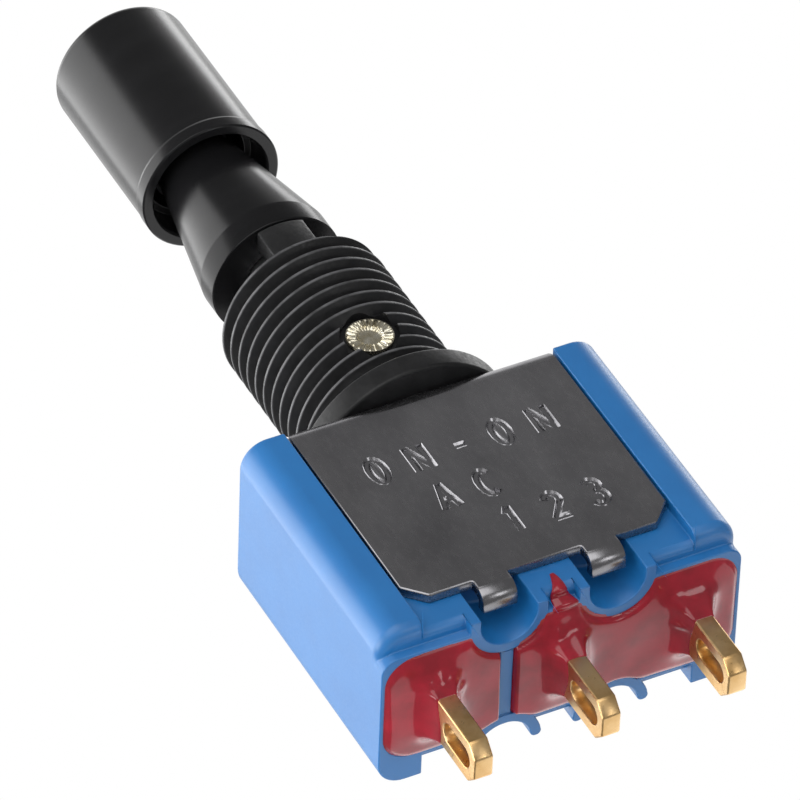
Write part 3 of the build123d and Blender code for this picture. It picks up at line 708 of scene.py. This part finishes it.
@dataclass
class PivotPin:
    """The hinge pin, with its peened ends serrated and dished.

    The places on an end's face are shares of the head's radius: the dish ends about dish_end, and
    the flutes run from flutes_from, where they grow in over flutes_grow, to the plain edge_from.
    """

    radius: float = 0.7
    head_radius: float = 0.84
    head: float = 0.15
    neck: float = 0.05
    sunk: float = 0.2
    flutes: int = 22
    flute_depth: float = 0.09
    flute_rise: float = 0.03
    flutes_from: float = 0.45
    flutes_grow: float = 0.15
    flutes_fade: float = 0.08
    dish: float = 0.14
    dish_end: float = 0.58
    dish_slope: float = 0.12
    edge_from: float = 0.97
    edge_depth: float = 0.03
    columns: int = 176

    def face_depth(self, share: Array, angle: Array) -> Array:
        """Depth of an end's face: a ring of uneven radial flutes about a lopsided dish."""
        rim = np.clip((share - self.flutes_from) / self.flutes_grow, 0, 1)
        rim = rim * np.clip((1.0 - share) / self.flutes_fade, 0, 1)
        wobble = 0.35 * np.sin(3 * angle + 0.6) + 0.25 * np.sin(7 * angle + 2.1)
        flute = np.abs(np.sin(self.flutes / 2 * angle + wobble))
        dish = np.clip((self.dish_end - share) / self.dish_slope, 0, 1)
        dish = dish * (1 + 0.25 * np.cos(angle + 0.8) * share)
        depth = self.sunk + self.dish * dish + rim * (self.flute_depth * flute - self.flute_rise)
        return np.where(share >= self.edge_from, self.sunk + self.edge_depth, depth)

    def build(self) -> Object:
        """Build the pin along Y: one end's face and head, the shank, and the same mirrored."""
        low, high = node_box("pivot_pin")
        pivot = (low[2] + high[2]) / 2
        share = np.concatenate([np.linspace(0, 0.45, 6), np.linspace(0.5, 0.94, 11), [0.975, 1.0]])[:, None]
        angle = circle_angles(self.columns)
        around = [self.head_radius * share + 0 * angle]
        along = [low[1] + self.face_depth(share, angle)]
        for radius, back in ((self.head_radius, self.head), (self.radius, self.head + self.neck)):
            around.append(radius + 0 * angle[None, :])
            along.append(low[1] + self.sunk + back + 0 * angle[None, :])
        around, along = np.concatenate(around), np.concatenate(along)
        around = np.concatenate([around, around[::-1]])
        along = np.concatenate([along, -along[::-1]])
        points = np.stack([around * np.cos(angle), along, pivot + around * np.sin(angle)], axis=-1)
        piece = smooth(grid_mesh("serrated_pin", points), 45)
        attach(piece, "housing")
        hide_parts("pivot_pin")
        return dress(piece, PIN_STEEL)


# ---------------------------------------------------------------- lever's grip and sleeve
@dataclass
class Grip:
    """The lever's round cap and the conical locking sleeve under it.

    The third number of each corner in a section is its rounding.
    """

    cap_round: float = 0.32
    mouth_depth: float = 1.25
    mouth_radius: float = 2.2
    mouth_break: Pair = (0.08, 0.1)
    bore_radius: float = 1.9
    bead: float = 0.04
    bead_height: float = 0.55
    bead_fade: Pair = (0.06, 0.05)
    lip: float = 0.02
    cap_roof: float = 2.0
    rod_radius: float = 1.15
    rod_cover: float = 1.0
    band: float = 0.95
    band_round: float = 0.35
    top_radius: float = 1.53
    hole_radius: float = 1.2
    seam: float = 0.5
    columns: int = 224

    def build_cap(self) -> Object:
        """Build the cap from its turned section: outside, bead, mouth, spring bore and rod bore."""
        low, high = node_box("lever_cap")
        base, top = low[2], high[2]
        radius = high[0] - self.bead
        below, above = self.bead_fade
        shelf, roof = base + self.mouth_depth, top - self.cap_roof
        section = rounded([
            (0, top, 0), (radius, top, self.cap_round), (radius, base + self.bead_height + above, 0.04),
            (high[0], base + self.bead_height - below, 0.03), (high[0], base + above, 0.03),
            (radius - self.lip, base, 0.04), (self.mouth_radius + self.mouth_break[0], base, 0.04),
            (self.mouth_radius, base + self.mouth_break[1], 0.03), (self.mouth_radius, shelf, 0.05),
            (self.bore_radius, shelf, 0.05), (self.bore_radius, roof, 0.05), (self.rod_radius, roof, 0),
            (self.rod_radius, top - self.rod_cover, 0), (0, top - self.rod_cover, 0)])
        piece = smooth(turned("grip_cap", section, self.columns), 40)
        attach(piece, "lever")
        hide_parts("lever_cap")
        return dress(piece, LEVER_BLACK)

    def build_sleeve(self) -> Object:
        """Build the sleeve: a short band, then a straight cone up into the cap.

        The section starts and ends on a seam in the hole's wall, where nothing is rounded.
        """
        low, high = node_box("locking_sleeve")
        seam = (self.hole_radius, high[2] - self.seam, 0)
        section = rounded([
            seam, (self.hole_radius, low[2], 0.04), (high[0], low[2], 0.05),
            (high[0], low[2] + self.band, self.band_round), (self.top_radius, high[2], 0.08),
            (self.hole_radius, high[2], 0.03), seam])
        piece = smooth(turned("cone_sleeve", section, self.columns), 40)
        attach(piece, "sleeve")
        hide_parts("locking_sleeve")
        return dress(piece, SLEEVE_BLACK)


@dataclass
class Spring:
    """A coil spring copied from its CAD node.

    The travel is the joint's whole range, in millimetres; it is not used.
    """

    node: str
    joint: str
    travel: float
    finish: Finish

    def build(self, frame: dict) -> None:
        """Copy the CAD coil and smooth its wire."""
        source = frame["nodes"][self.node]
        piece = smooth(new_object(f"{self.node}_coil", source.data.copy()), 80)
        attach(piece, source["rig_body"])
        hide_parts(self.node)
        dress(piece, self.finish)
        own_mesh(piece)


# ---------------------------------------------------------------- sealing resin
@dataclass
class Seal:
    """The sealing resin in the well, its skin drawn up at the terminals, and a run over the rim.

    Heights are towards the terminals' tips. A lump is (x, y, spread, height) and a cone, drawn up at
    a terminal's root, is (height, spread). The run's path is (y, height, half width, half thickness)
    from place to place, and its middle sways in x as run_sway says: (x, amount, rate).
    """

    step: float = 0.05
    creep: float = 1.0
    over: float = 0.07
    thickness: float = 0.6
    well_corner: float = 1.05
    pocket_x: float = 2.03
    pocket_radius: float = 1.45
    pocket_cut: float = 0.15
    pocket_front: float = -2.55
    pocket_rear: float = 3.3
    rib_half: float = 0.25
    rib_fade: float = 0.1
    rib_bare: float = 0.08
    edge_level: float = 0.06
    crown: float = 0.22
    swell: float = 0.012
    roll_off: Triple = (0.75, 0.1, 0.05)
    terminals: tuple[float, ...] = (-4.75, 0.0, 4.75)
    terminal_size: Pair = (0.35, 0.875)
    cones: tuple[Pair, ...] = ((0.74, 0.3), (0.16, 0.8))
    lumps: tuple[Quad, ...] = (
        (-4.75, -1.3, 0.2, 0.08), (-3.95, -0.55, 0.22, 0.08), (0.32, -1.05, 0.18, 0.16),
        (-0.3, -1.5, 0.2, 0.12), (4.1, -1.2, 0.22, 0.14), (4.15, -0.3, 0.16, 0.14),
        (5.3, -1.0, 0.16, 0.08), (3.4, -2.1, 0.2, 0.12), (-3.5, -2.0, 0.22, 0.14),
        (-0.15, -2.1, 0.3, 0.14))
    run_path: tuple[Quad, ...] = (
        (-1.9, 0.1, 0.44, 0.1), (-2.2, -0.06, 0.5, 0.1), (-2.38, -0.12, 0.48, 0.1),
        (-2.45, 0.0, 0.42, 0.1), (-2.52, 0.18, 0.36, 0.09), (-2.66, 0.22, 0.32, 0.1),
        (-2.8, 0.24, 0.28, 0.14), (-2.87, 0.4, 0.22, 0.1), (-2.88, 0.65, 0.16, 0.06),
        (-2.88, 0.95, 0.08, 0.04))
    run_sway: Triple = (0.02, 0.05, 0.9)
    run_rows: int = 46
    run_columns: int = 28

    def box_distance(self, x: Array, y: Array, half_x: float, half_y: float, corner: float = 0.0) -> Array:
        """Signed distance to a rounded rectangle about the origin, negative inside it."""
        across, along = np.abs(x) - half_x + corner, np.abs(y) - half_y + corner
        outside = np.hypot(np.maximum(across, 0), np.maximum(along, 0))
        return outside + np.minimum(np.maximum(across, along), 0) - corner

    def pocket_distance(self, x: Array, y: Array) -> Array:
        """Signed distance to the nearest pocket's outer wall, negative inside it."""
        across = np.abs(np.abs(x) - self.pocket_x)
        front = np.hypot(across, np.maximum(y - self.pocket_front, 0))
        rear = np.hypot(across, np.maximum(self.pocket_rear - y, 0))
        return np.minimum(front, rear) - self.pocket_radius

    def skin(self, x: Array, y: Array, half_x: float, half_y: float) -> Array:
        """How far the resin's skin stands out of its mean level.

        It is a low crown that rolls off towards the front wall, the sides and the pockets, a cone
        drawn up at each terminal's root, a slow swell made of a few sine waves and some small lumps.
        The left rib stays bare.
        """
        to_wall = -self.box_distance(x, y, half_x, half_y, self.well_corner)
        roll = np.ones_like(x)
        for gap, fall in zip((y + half_y, to_wall, self.pocket_distance(x, y)), self.roll_off):
            roll = roll * (1 - np.exp(-np.maximum(gap, 0) / fall))
        swell = (np.sin(0.9 * x + 1.1 * y + 0.3) + np.sin(1.7 * x - 1.9 * y + 2.0)
                 + 0.6 * np.sin(3.1 * x + 2.3 * y))
        height = self.edge_level + roll * (self.crown + self.swell * swell)
        for place_x, place_y, spread, tall in self.lumps:
            height += tall * roll * np.exp(-((x - place_x) ** 2 + (y - place_y) ** 2) / spread**2)
        for number, place in enumerate(self.terminals):
            to_blade = np.maximum(self.box_distance(x - place, y, *self.terminal_size), 0)
            lean = 1 + 0.18 * np.sin(2.1 * y + 1.7 * number + 0.4)
            height += lean * sum(tall * np.exp(-to_blade / spread) for tall, spread in self.cones)
        to_rib = np.abs(x + self.pocket_x) - self.rib_half
        bare = np.clip((self.rib_fade - to_rib) / self.rib_fade, 0, 1)
        bare = bare * bare * (3 - 2 * bare)
        return height * (1 - bare) - self.rib_bare * bare

    def places(self, half_x: float, half_y: float) -> tuple[Array, Array, Array]:
        """Grid of places over the well.

        Returns:
            Their x and y, and which of them lie in the well and outside the pockets. Points next to
            the border are moved onto its true curve.
        """
        reach = np.array([half_x, half_y]) + self.over + 2 * self.step
        counts = (2 * reach / self.step).astype(int)
        x, y = np.meshgrid(*(np.linspace(-size, size, count) for size, count in zip(reach, counts)))
        border = np.maximum(
            self.box_distance(x, y, half_x + self.over, half_y + self.over, self.well_corner + self.over),
            -self.pocket_distance(x, y) - self.pocket_cut)
        down, right = np.gradient(border, y[:, 0], x[0])
        near = np.abs(border) < self.step * 0.6
        steep = np.maximum(np.hypot(down, right), 0.5)
        limit = self.step * 0.8
        x = np.where(near, x - np.clip(border * right / steep**2, -limit, limit), x)
        y = np.where(near, y - np.clip(border * down / steep**2, -limit, limit), y)
        return x, y, (border < 0) | near

    def build(self) -> None:
        """Build the resin as a skin over a flat underside, cut out round the pockets, and its run."""
        low, high = node_box("epoxy_seal")
        level = low[2] + self.creep
        x, y, keep = self.places(high[0], high[1])
        height = self.skin(x, y, high[0], high[1])
        whole = keep[:-1, :-1] & keep[1:, :-1] & keep[1:, 1:] & keep[:-1, 1:]
        index = np.arange(x.size).reshape(x.shape)
        faces = np.stack([index[:-1, :-1], index[1:, :-1], index[1:, 1:], index[:-1, 1:]], axis=-1)[whole]
        used, compact = np.unique(faces, return_inverse=True)
        points = np.stack([x, y, level - height], axis=-1).reshape(-1, 3)[used]
        piece = mesh_object("resin_fill", points, compact.reshape(-1, 4).tolist())
        solid = piece.modifiers.new("thickness", "SOLIDIFY")
        solid.thickness, solid.offset = self.thickness * MM, -1.0
        apply_modifiers(piece)
        close_up(piece, 0.0001)
        smooth(piece, 80)
        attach(piece, "housing")
        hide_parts("epoxy_seal")
        dress(piece, SEAL_RED)
        self.build_run(level)

    def build_run(self, level: float) -> None:
        """Build the run of resin over the rim between the front pockets: an oval tube along a path."""
        path = np.array(self.run_path)
        fine = np.linspace(0, len(path) - 1, self.run_rows)
        y, up, half, thick = (np.interp(fine, np.arange(len(path)), column) for column in path.T)
        blur = np.array([0.25, 0.5, 0.25])
        for _ in range(3):
            y[1:-1], up[1:-1] = np.convolve(y, blur, "valid"), np.convolve(up, blur, "valid")
        along = np.stack([np.gradient(y), np.gradient(up)])
        ahead, rise = (along / np.hypot(*along))[:, :, None]
        angle = circle_angles(self.run_columns)
        middle, sway, rate = self.run_sway
        centre = middle + sway * np.sin(fine * rate)
        out = thick[:, None] * np.sin(angle)
        points = np.stack([centre[:, None] + half[:, None] * np.cos(angle), y[:, None] - rise * out,
                           level + up[:, None] + ahead * out], axis=-1)
        piece = smooth(grid_mesh("resin_run", points, caps=True), 60)
        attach(piece, "housing")
        dress(piece, SEAL_RED)


# ---------------------------------------------------------------- housing
@dataclass
class Stamp:
    """Plain figures struck into the frame's front cheek: flat-floored grooves between low burrs.

    The groove and the burr are sections of (half width, depth under the face) from one edge in. A
    row is the first figure's middle, x and z, and its text.
    """

    size: Pair = (0.56, 1.22)
    groove: tuple[Pair, ...] = ((0.135, -0.035), (0.06, 0.07))
    burr: tuple[Pair, ...] = ((0.165, 0.02), (0.13, -0.024))
    rows: tuple[tuple[float, float, str], ...] = (
        (-3.08, -4.2, "ON-ON"), (-1.57, -6.25, "AC"), (0.0, -8.2, "123"))
    pitch: float = 1.55

    @staticmethod
    def arc(centre: Pair, radius: Pair, start: float, end: float) -> Array:
        """Points of an arc in a figure's unit square, from start to end in degrees, about 22 apart."""
        turn = np.radians(np.linspace(start, end, max(5, int(abs(end - start) / 22))))
        return np.stack([centre[0] + radius[0] * np.cos(turn), centre[1] + radius[1] * np.sin(turn)], axis=-1)

    def strokes(self, figure: str) -> list[Array]:
        """The strokes of a figure in its unit square."""
        lines = {
            "N": [[(0, 0), (0, 1)], [(0, 1), (1, 0)], [(1, 0), (1, 1)]],
            "A": [[(0, 0), (0.5, 1)], [(0.5, 1), (1, 0)], [(0.2, 0.34), (0.8, 0.34)]],
            "-": [[(0.15, 0.5), (0.85, 0.5)]],
            "1": [[(0.2, 0.74), (0.5, 1)], [(0.5, 1), (0.5, 0)]],
            "2": [[(0.95, 0.62), (0.04, 0)], [(0, 0), (1, 0)]]}
        arcs = {
            "O": [((0.5, 0.5), (0.5, 0.5), 0, 360)], "C": [((0.5, 0.5), (0.5, 0.5), 45, 315)],
            "2": [((0.5, 0.7), (0.46, 0.3), 165, -15)],
            "3": [((0.45, 0.76), (0.45, 0.24), 150, -90), ((0.45, 0.27), (0.5, 0.27), 90, -150)]}
        return [np.array(line, float) for line in lines.get(figure, [])] + [
            self.arc(*shape) for shape in arcs.get(figure, [])]

    def tool(self, path: Array, face: float, section: tuple[Pair, ...]) -> Object:
        """One stroke's groove or burr as a solid: a section drawn along a path of (x, z) points."""
        round_trip = bool(np.allclose(path[0], path[-1]))
        if round_trip:
            path = path[:-1]
            ahead = np.roll(path, -1, axis=0) - np.roll(path, 1, axis=0)
        else:
            ahead = np.gradient(path, axis=0)
        ahead = ahead / np.linalg.norm(ahead, axis=1)[:, None]
        corners = [(-out, into) for out, into in section] + [(out, into) for out, into in reversed(section)]
        x, z = path.T
        points = np.stack([
            np.stack([x - ahead[:, 1] * out, face + into + 0 * x, z + ahead[:, 0] * out], axis=-1)
            for out, into in corners], axis=1)
        return grid_mesh("stroke", points, ends=round_trip, caps=not round_trip)

    def strike(self, plate: Object, face: float) -> None:
        """Raise the burrs and cut the grooves of all the figures in a plate, its outer face at y = face."""
        for start, level, text in self.rows:
            for number, figure in enumerate(text):
                corner = np.array([start + number * self.pitch, level]) - np.array(self.size) / 2
                paths = [corner + path * np.array(self.size) for path in self.strokes(figure)]
                for path in paths:
                    boolean(plate, self.tool(path, face, self.burr), Join.ADD)
                for path in paths:
                    boolean(plate, self.tool(path, face, self.groove), Join.CUT)
        close_up(plate, 0.001)
        smooth(plate, 30, level=True, flat=(0, -1, 0))


@dataclass
class Housing:
    """The moulded case, the folded frame and the three terminals."""

    case_edge: float = 0.13
    rim_edge: float = 0.05
    rim_height: float = 0.9
    sheet_edge: float = 0.06
    lug_edge: float = 0.07

    def build(self, frame: dict) -> None:
        """Break the edges of each piece and give it its finish."""
        rim = node_box("case")[0][2] + self.rim_height
        dress(softened(frame, "case", self.case_edge, self.rim_edge, rim, segments=3), CASE_BLUE)
        plate = softened(frame, "frame", self.sheet_edge)
        Stamp().strike(plate, node_box("frame")[0][1])
        # The frame's broken edges take the paler finish, a painted highlight along them.
        dress(plate, PLATE_STEEL, PLATE_EDGE_HIGHLIGHT)
        for node in ("terminal_left", "terminal_common", "terminal_right"):
            dress(softened(frame, node, self.lug_edge), TERMINAL_GOLD)


# ---------------------------------------------------------------- studio
@dataclass(frozen=True)
class Lamp:
    """A rectangular lamp.

    Its direction from the object runs along the camera's right, up and backward axes. Its size and
    its distance are in metres, and its power is in watts.
    """

    name: str
    way: Triple
    size: Pair
    power: float
    distance: float = 0.3

    def build(self, axes: Array) -> None:
        """Add the lamp, turned towards the object."""
        lamp = bpy.data.lights.new(self.name, "AREA")
        lamp.shape, lamp.energy = "RECTANGLE", self.power
        lamp.size, lamp.size_y = self.size
        holder = bpy.data.objects.new(self.name, lamp)
        bpy.context.scene.collection.objects.link(holder)
        out = Vector(np.array(self.way) @ axes).normalized()
        turn = out.to_track_quat("Z", "Y")
        holder.matrix_world = Matrix.Translation(out * self.distance) @ turn.to_matrix().to_4x4()


@dataclass
class Studio:
    """Camera, lamps, floor and world.

    The camera's angles are in degrees, and its aim, its distance and the floor's sizes in
    millimetres. Of the world's light, ambient falls on plain surfaces, and reflections show room on
    the camera's side and white behind the object, between the two cosines of backdrop.
    """

    azimuth: float = 27.94
    elevation: float = -40.86
    roll: float = 36.75
    distance: float = 306.9
    aim: Triple = (0.391, -1.030, 0.840)
    lens: float = 404.09
    sensor: float = 36.0
    clip: Pair = (0.01, 10.0)
    floor_gap: float = 0.4
    floor_half: float = 400.0
    paper: Quad = (0.86, 0.86, 0.86, 1.0)
    ambient: float = 0.42
    room: float = 0.22
    backdrop: Pair = (0.45, 0.65)
    lamps: tuple[Lamp, ...] = (
        Lamp("key", (-0.94, 0.08, -0.3), (0.35, 0.35), 1.05),
        Lamp("left_fill", (-0.85, -0.35, 0.4), (0.2, 0.2), 0.6),
        Lamp("right_strip", (0.36, 0.53, -0.76), (0.07, 0.16), 0.12),
        Lamp("low_fill", (0.5, -0.8, -0.3), (0.4, 0.4), 0.45),
        Lamp("right_glint", (0.7, -0.1, 0.7), (0.08, 0.08), 0.06),
        Lamp("front_fill", (-0.2, 0.5, 0.9), (0.36, 0.36), 0.68))
    axes: Array = field(default_factory=lambda: np.eye(3))

    def find_axes(self) -> None:
        """Work out the camera's right, up and backward directions from its angles."""
        turn, rise = math.radians(self.azimuth), math.radians(self.elevation)
        ahead = np.array([math.sin(turn) * math.cos(rise), math.cos(turn) * math.cos(rise), -math.sin(rise)])
        level = np.array([math.cos(turn), -math.sin(turn), 0.0])
        upright = np.cross(level, ahead)
        tilt = math.radians(self.roll)
        up = math.cos(tilt) * upright + math.sin(tilt) * level
        right = math.cos(tilt) * level - math.sin(tilt) * upright
        self.axes = np.array([right, up, -ahead])

    def add_camera(self) -> None:
        """Place the camera on its line through the aim point."""
        camera = bpy.data.cameras.new("camera")
        camera.lens, camera.sensor_width = self.lens, self.sensor
        camera.clip_start, camera.clip_end = self.clip
        holder = bpy.data.objects.new("camera", camera)
        bpy.context.scene.collection.objects.link(holder)
        place = (np.array(self.aim) + self.axes[2] * self.distance) * MM
        holder.matrix_world = Matrix.Translation(Vector(place)) @ Matrix(self.axes.T.tolist()).to_4x4()
        bpy.context.scene.camera = holder

    def add_world(self) -> None:
        """White to the camera, and white in reflections of the backdrop behind the object.

        Reflections of the room on the camera's side are dimmer, and so is the world as a source of
        light on plain surfaces.
        """
        world = bpy.data.worlds.new("studio")
        bpy.context.scene.world = world
        world.use_nodes = True
        sheet = NodeSheet(world.node_tree)
        rays = sheet.add("ShaderNodeLightPath").outputs
        way = sheet.add("ShaderNodeTexCoord").outputs["Generated"]
        facing = sheet.add("ShaderNodeVectorMath", {0: way, 1: tuple((-self.axes[2]).tolist())},
                           operation="DOT_PRODUCT")
        backdrop = sheet.spread(facing.outputs["Value"], *self.backdrop, self.room, 1.0)
        mirrored = sheet.math("MAXIMUM", rays["Is Glossy Ray"], rays["Is Transmission Ray"])
        reflected = sheet.spread(mirrored, 0, 1, self.ambient, backdrop)
        strength = sheet.spread(rays["Is Camera Ray"], 0, 1, reflected, 1.0)
        back = sheet.add("ShaderNodeBackground", {0: (1, 1, 1, 1), 1: strength})
        sheet.add("ShaderNodeOutputWorld", {"Surface": back.outputs[0]})

    def add_floor(self) -> None:
        """Lay a pale floor under the lugs that shows from above only, and in no reflection."""
        half, height = self.floor_half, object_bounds()[0][2] / MM - self.floor_gap
        corners = [(-half, -half, height), (half, -half, height), (half, half, height), (-half, half, height)]
        floor = mesh_object("floor", np.array(corners), [[0, 1, 2, 3]])
        material = bpy.data.materials.new("floor_paper")
        material.use_nodes = True
        sheet = NodeSheet(material.node_tree)
        paper = sheet.add("ShaderNodeBsdfDiffuse", {0: self.paper})
        clear = sheet.add("ShaderNodeBsdfTransparent")
        under = sheet.add("ShaderNodeNewGeometry").outputs["Backfacing"]
        rays = sheet.add("ShaderNodeLightPath").outputs
        unseen = sheet.math("MAXIMUM", rays["Is Shadow Ray"], rays["Is Glossy Ray"])
        through = sheet.math("MAXIMUM", under, unseen)
        both = sheet.add("ShaderNodeMixShader", {0: through, 1: paper.outputs[0], 2: clear.outputs[0]})
        sheet.add("ShaderNodeOutputMaterial", {"Surface": both.outputs[0]})
        floor.data.materials.append(material)
        floor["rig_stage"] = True

    def build(self) -> None:
        """Build the whole studio."""
        bpy.context.scene.view_settings.view_transform = "Standard"
        self.find_axes()
        self.add_camera()
        self.add_world()
        self.add_floor()
        for lamp in self.lamps:
            lamp.build(self.axes)


def main() -> None:
    """Build the switch's pieces, then its studio."""
    logging.basicConfig(level=logging.INFO, format="%(name)s %(message)s")
    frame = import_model()
    Bushing().build()
    PivotPin().build()
    grip = Grip()
    grip.build_cap()
    grip.build_sleeve()
    # The lock spring takes the near-black finish, painted shade inside the cap's mouth.
    Spring("lock_spring", "sleeve_slide", 1.5, SPRING_SHADE_DARK).build(frame)
    Spring("plunger_spring", "plunger_slide", 0.35, SPRING_STEEL).build(frame)
    Seal().build()
    Housing().build(frame)
    for node, finish in PLAIN_NODES.items():
        dress(frame["nodes"][node], finish)
    Studio().build()


if __name__ == "__main__":
    main()
